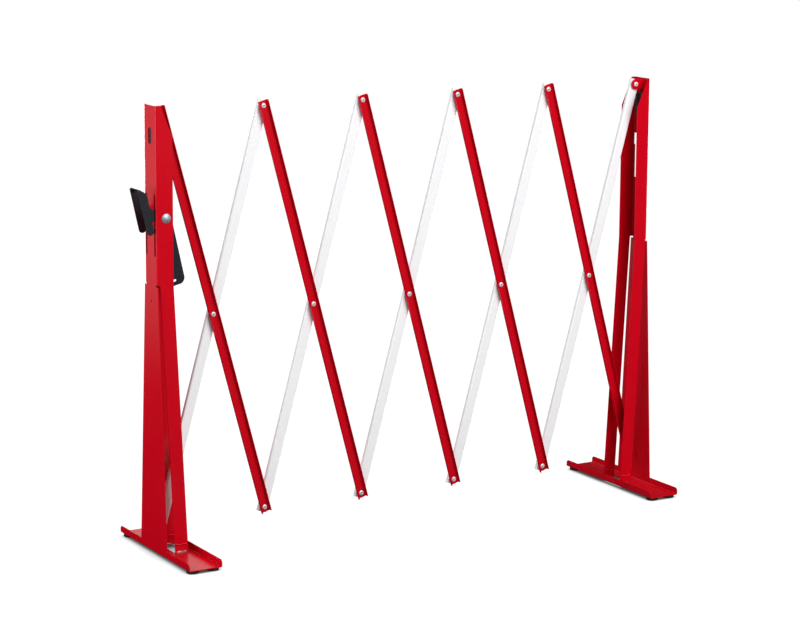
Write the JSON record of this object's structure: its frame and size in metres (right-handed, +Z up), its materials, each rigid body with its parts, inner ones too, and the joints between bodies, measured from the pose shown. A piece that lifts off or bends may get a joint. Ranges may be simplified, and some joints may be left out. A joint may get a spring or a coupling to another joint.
{
  "type": "folding lattice barrier",
  "caption": "Folding steel barrier: sheet-steel end posts on wide feet, joined by a scissor lattice of red and white slats, with a black hand lever in one post.",
  "frame": {"origin": "on the floor, under the middle of the overall length, lever included, and midway between front and back", "axes": "+X along the barrier from the lever post to the other post, +Y to the back, +Z up"},
  "size_m": [1.3424, 0.356, 1],
  "materials": {
    "red_powder_coat": "semi-gloss powder coat with fine orange peel",
    "white_powder_coat": "semi-gloss powder coat",
    "black_powder_coat": "satin black powder coat",
    "zinc_plate": "bright zinc plate",
    "black_rubber": "matt moulded rubber",
    "white_nylon": "plain moulded nylon"
  },
  "bodies": {
    "left_post": {"left_post": "red_powder_coat", "left_pivot_ear": "red_powder_coat", "left_buffer": "black_rubber", "left_foot_pad_1": "black_rubber", "left_foot_pad_2": "black_rubber", "left_foot_pad_3": "black_rubber", "left_foot_pad_4": "black_rubber", "left_pivot_rivet": "zinc_plate", "left_pivot_washer": "white_nylon", "lever_bolts": "zinc_plate", "lever_spacers": "zinc_plate", "lever_nuts": "zinc_plate"},
    "red_slat_1": {"red_slat_1": "red_powder_coat", "red_slat_1_rivets": "zinc_plate", "red_slat_1_washers": "white_nylon"},
    "white_slat_1": {"white_slat_1": "white_powder_coat"},
    "red_slat_2": {"red_slat_2": "red_powder_coat", "red_slat_2_rivets": "zinc_plate", "red_slat_2_washers": "white_nylon"},
    "white_slat_2": {"white_slat_2": "white_powder_coat"},
    "red_slat_3": {"red_slat_3": "red_powder_coat", "red_slat_3_rivets": "zinc_plate", "red_slat_3_washers": "white_nylon"},
    "white_slat_3": {"white_slat_3": "white_powder_coat"},
    "red_slat_4": {"red_slat_4": "red_powder_coat", "red_slat_4_rivets": "zinc_plate", "red_slat_4_washers": "white_nylon"},
    "white_slat_4": {"white_slat_4": "white_powder_coat"},
    "red_slat_5": {"red_slat_5": "red_powder_coat", "red_slat_5_rivets": "zinc_plate", "red_slat_5_washers": "white_nylon"},
    "white_slat_5": {"white_slat_5": "white_powder_coat"},
    "right_post": {"right_post": "red_powder_coat", "right_pivot_ear": "red_powder_coat", "right_buffer": "black_rubber", "right_foot_pad_1": "black_rubber", "right_foot_pad_2": "black_rubber", "right_foot_pad_3": "black_rubber", "right_foot_pad_4": "black_rubber", "right_pivot_rivet": "zinc_plate", "right_pivot_washer": "white_nylon"},
    "lever": {"lever": "black_powder_coat"}
  },
  "joints": [
    {"name": "fold", "type": "hinge", "parent": "left_post", "child": "red_slat_1", "pos_m": [-0.60958, 0, 0.985], "axis": [0, -1, 0], "range_deg": [-12, 34.5]},
    {"name": "crossing_1", "type": "hinge", "parent": "red_slat_1", "child": "white_slat_1", "pos_m": [-0.48381, 0, 0.529], "axis": [0, -1, 0], "range_deg": [-70.5, 25.5]},
    {"name": "top_2", "type": "hinge", "parent": "white_slat_1", "child": "red_slat_2", "pos_m": [-0.35803, 0, 0.985], "axis": [0, -1, 0], "range_deg": [-24, 69]},
    {"name": "crossing_2", "type": "hinge", "parent": "red_slat_2", "child": "white_slat_2", "pos_m": [-0.23226, 0, 0.529], "axis": [0, -1, 0], "range_deg": [-70.5, 25.5]},
    {"name": "top_3", "type": "hinge", "parent": "white_slat_2", "child": "red_slat_3", "pos_m": [-0.10648, 0, 0.985], "axis": [0, -1, 0], "range_deg": [-24, 69]},
    {"name": "crossing_3", "type": "hinge", "parent": "red_slat_3", "child": "white_slat_3", "pos_m": [0.01929, 0, 0.529], "axis": [0, -1, 0], "range_deg": [-70.5, 25.5]},
    {"name": "top_4", "type": "hinge", "parent": "white_slat_3", "child": "red_slat_4", "pos_m": [0.14506, 0, 0.985], "axis": [0, -1, 0], "range_deg": [-24, 69]},
    {"name": "crossing_4", "type": "hinge", "parent": "red_slat_4", "child": "white_slat_4", "pos_m": [0.27084, 0, 0.529], "axis": [0, -1, 0], "range_deg": [-70.5, 25.5]},
    {"name": "top_5", "type": "hinge", "parent": "white_slat_4", "child": "red_slat_5", "pos_m": [0.39661, 0, 0.985], "axis": [0, -1, 0], "range_deg": [-24, 69]},
    {"name": "crossing_5", "type": "hinge", "parent": "red_slat_5", "child": "white_slat_5", "pos_m": [0.52239, 0, 0.529], "axis": [0, -1, 0], "range_deg": [-70.5, 25.5]},
    {"name": "right_end", "type": "hinge", "parent": "white_slat_5", "child": "right_post", "pos_m": [0.64816, 0, 0.985], "axis": [0, -1, 0], "range_deg": [-12, 34.5]},
    {"name": "lever_turn", "type": "hinge", "parent": "left_post", "child": "lever", "pos_m": [-0.60958, 0, 0.756], "axis": [0, -1, 0], "range_deg": [-12.8, 21]}
  ],
  "couplings": [
    {"joint": "crossing_1", "follows": "fold", "ratio": -2},
    {"joint": "top_2", "follows": "fold", "ratio": 2},
    {"joint": "crossing_2", "follows": "fold", "ratio": -2},
    {"joint": "top_3", "follows": "fold", "ratio": 2},
    {"joint": "crossing_3", "follows": "fold", "ratio": -2},
    {"joint": "top_4", "follows": "fold", "ratio": 2},
    {"joint": "crossing_4", "follows": "fold", "ratio": -2},
    {"joint": "top_5", "follows": "fold", "ratio": 2},
    {"joint": "crossing_5", "follows": "fold", "ratio": -2},
    {"joint": "right_end", "follows": "fold", "ratio": 1}
  ]
}
